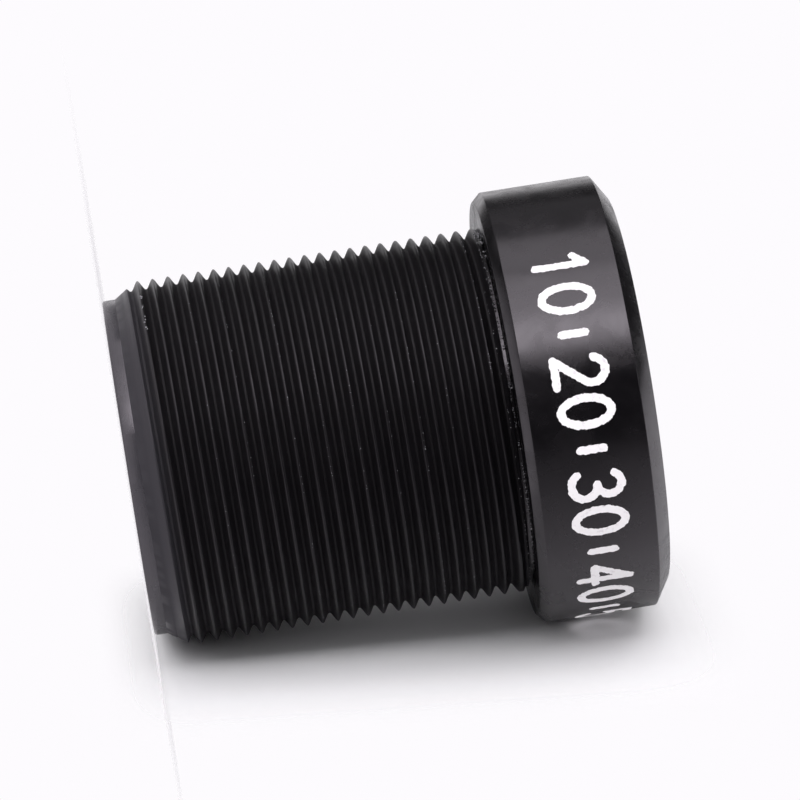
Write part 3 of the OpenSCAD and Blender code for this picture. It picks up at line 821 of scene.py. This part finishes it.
def makeTablePaper():
    # matt white paper whose colour for the metal carries painted light, bright near the lens and falling off toward
    # the dark room; the camera sees it only where the lens shades it; its back lets everything through
    material, tree, shader = newMaterial("whitePaperTable")
    tree.nodes.remove(shader)
    parts = addNode(tree, "ShaderNodeSeparateXYZ", {0: patternSpace(tree)})
    along, across = parts.outputs[0], parts.outputs[1]
    # painted light: for metal and glass the paper's colour falls off away from the contact line and is brighter in
    # front of the head
    near = mathIn(tree, "MAXIMUM", mathIn(tree, "MULTIPLY", across, -1.0), stage["paintedLitReach"])
    paintedFalloff = mathIn(tree, "POWER", mathIn(tree, "DIVIDE", near, stage["paintedLitReach"]), stage["paintedLightFall"])
    path = addNode(tree, "ShaderNodeLightPath")
    camera = path.outputs["Is Camera Ray"]
    paintedBoost = mathIn(tree, "MULTIPLY_ADD", fade(tree, along, *stage["paintedFrontReach"]), stage["paintedFrontLight"], 1.0)
    level = mathIn(tree, "MULTIPLY", mathIn(tree, "MULTIPLY", paintedFalloff, stage["paintedLightShare"]), paintedBoost)
    level = mathIn(tree, "MAXIMUM", level, mathIn(tree, "MAXIMUM", camera, path.outputs["Is Diffuse Ray"]))
    grey = addNode(tree, "ShaderNodeVectorMath", {0: linear(stage["paper"])[:3], "Scale": level}, operation="SCALE")
    paper = addNode(tree, "ShaderNodeBsdfDiffuse", {"Color": grey.outputs[0]})
    clear = addNode(tree, "ShaderNodeBsdfTransparent").outputs[0]
    shown = mathIn(tree, "MULTIPLY", fade(tree, across, -stage["shownNear"], stage["shownSoft"] - stage["shownNear"]),
                   mathIn(tree, "SUBTRACT", 1.0, fade(tree, across, stage["shownFar"] - stage["shownSoft"],
                                                      stage["shownFar"])))
    shown = mathIn(tree, "MULTIPLY", shown,
                   fade(tree, along, -stage["shownLeft"], stage["shownSoftLeft"] - stage["shownLeft"]))
    shown = mathIn(tree, "MULTIPLY", shown,
                   mathIn(tree, "SUBTRACT", 1.0, fade(tree, along, stage["shownRight"] - stage["shownSoft"],
                                                      stage["shownRight"])))
    hidden = mathIn(tree, "MULTIPLY", camera, mathIn(tree, "SUBTRACT", 1.0, shown))
    back = addNode(tree, "ShaderNodeNewGeometry").outputs["Backfacing"]
    gone = mathIn(tree, "MAXIMUM", hidden, back)
    result = addNode(tree, "ShaderNodeMixShader", {0: gone, 1: paper.outputs[0], 2: clear})
    tree.links.new(result.outputs[0], tree.nodes["Material Output"].inputs["Surface"])
    return material


def makePlane(name, low, high, material):
    mesh = bpy.data.meshes.new(name)
    corners = [(low[0], low[1], 0), (high[0], low[1], 0), (high[0], high[1], 0), (low[0], high[1], 0)]
    mesh.from_pydata([tuple(c * mm for c in corner) for corner in corners], [], [(0, 1, 2, 3)])
    mesh.materials.append(material)
    item = bpy.data.objects.new(name, mesh)
    scene.collection.objects.link(item)
    return item


half = stage["floorHalf"]
floor = makePlane("floor", (-half, -half), (half, half), makeFloorPaper())
floor.visible_diffuse = False
floor.visible_shadow = False

turn = math.radians(stage["leafTurn"])
outward = Vector((math.cos(turn), math.sin(turn), 0))
rise = (b["headRadius"] - b["threadRadius"]) / (b["bandStart"] - b["firstCrest"])
tilt = math.atan(rise)
middle = stage["leafHeight"]
reach = b["threadRadius"] + stage["leafGap"] + rise * (middle - b["firstCrest"])
onLeaf = outward * reach * mm + Vector((0, 0, middle * mm))
alongLens = Vector((0, 0, 1)) * math.cos(tilt) + outward * math.sin(tilt)
acrossLens = Vector((-math.sin(turn), math.cos(turn), 0))
leaf = makePlane("tableLeaf", (-stage["leafLeft"], -stage["leafNear"]), (stage["leafRight"], stage["leafFar"]),
                 makeTablePaper())
leaf.matrix_world = Matrix.Translation(onLeaf) @ Matrix((alongLens, acrossLens,
                                                         alongLens.cross(acrossLens))).transposed().to_4x4()
leaf.visible_shadow = False
leaf.visible_diffuse = False

# angle from -Y toward -X, lean toward +Z, height, width, length, radiance, mirrored by metal, lights matt faces
lamps = {
    "stripLow": (35.5, 0, 25, 66, 400, 2.4, True, True),
    "stripMid": (58, 0, 25, 88, 400, 1.3, True, True),
    "stripHigh": (84, 0, 25, 84, 400, 0.8, True, True),
    "stripBack": (112, 0, 25, 110, 400, 0.12, True, False),
    "frontPanel": (-5, 70, 8, 70, 60, 1.0, True, False),
    "fillFront": (15, 0, 25, 150, 400, 0.5, False, True),
    "fillLeft": (50, -45, 8, 150, 150, 0.6, False, True),
    "fillRight": (50, 45, 8, 150, 150, 0.45, False, True),
    "fillBelow": (-55, 5, 25, 190, 400, 1.5, False, True),
    "fillBehind": (-150, 20, 25, 190, 200, 1.0, False, True),
    "fillBack": (140, 20, 25, 170, 200, 1.1, False, True),
}
for name, (angle, lean, height, width, length, radiance, glossy, matt) in lamps.items():
    light = bpy.data.lights.new(name, "AREA")
    light.shape = "RECTANGLE"
    light.size = width * mm
    light.size_y = length * mm
    light.energy = radiance * 4 * width * length * mm * mm
    light.color = stage["lampColour"]
    lamp = bpy.data.objects.new(name, light)
    scene.collection.objects.link(lamp)
    a, lean = math.radians(angle), math.radians(lean)
    away = Vector((-math.sin(a) * math.cos(lean), -math.cos(a) * math.cos(lean), math.sin(lean)))
    side = Vector((-math.cos(a), math.sin(a), 0))
    lamp.location = away * stage["lampDistance"] * mm + Vector((0, 0, height * mm))
    lamp.rotation_mode = "QUATERNION"
    lamp.rotation_quaternion = Matrix((side, away.cross(side), away)).transposed().to_quaternion()
    lamp.visible_camera = False
    lamp.visible_glossy = glossy
    lamp.visible_diffuse = matt
    lamp.visible_transmission = glossy

world = bpy.data.worlds.new("studio")
scene.world = world
world.use_nodes = True
tree = world.node_tree
tree.nodes.clear()
path = addNode(tree, "ShaderNodeLightPath").outputs
toward = addNode(tree, "ShaderNodeTexCoord").outputs["Generated"]
behind = addNode(tree, "ShaderNodeVectorMath", {0: toward, 1: (0, 1, 0)}, operation="DOT_PRODUCT").outputs["Value"]
start, full = (math.cos(math.radians(angle)) for angle in stage["backdropEdge"])
mirrored = mathIn(tree, "MULTIPLY", path["Is Glossy Ray"], fade(tree, behind, start, full))
# camera and glass see white all round; metal sees it behind the lens and a dark room elsewhere
level = addNode(tree, "ShaderNodeMapRange",
                {"Value": anyOf(tree, path["Is Camera Ray"], path["Is Transmission Ray"], mirrored),
                                             "To Min": stage["roomLight"], "To Max": 1.0})
sky = addNode(tree, "ShaderNodeBackground", {"Color": linear(stage["white"]), "Strength": level.outputs[0]})
addNode(tree, "ShaderNodeOutputWorld", {"Surface": sky.outputs[0]})

# camera: fitted to the photograph's thread crests, rims and head edges, with the head's width held
view = {"lens": 234.756, "place": (0, -170.132, 1.578), "yaw": -0.0441, "pitch": 0.0048, "roll": -0.1571}
cameraData = bpy.data.cameras.new("camera")
cameraData.lens = view["lens"]
cameraData.sensor_width = 36
cameraData.clip_start = 0.01
cameraData.clip_end = 5
camera = bpy.data.objects.new("camera", cameraData)
scene.collection.objects.link(camera)
base = Matrix(((0, -1, 0), (0, 0, -1), (1, 0, 0)))
turned = base @ Matrix.Rotation(view["yaw"], 3, "Y") @ Matrix.Rotation(view["pitch"], 3,
                                                                       "X") @ Matrix.Rotation(view["roll"], 3, "Z")
camera.matrix_world = Matrix.Translation(Vector(view["place"]) * mm) @ turned.to_4x4()
scene.camera = camera
print("lens: stage, lamps and camera made")
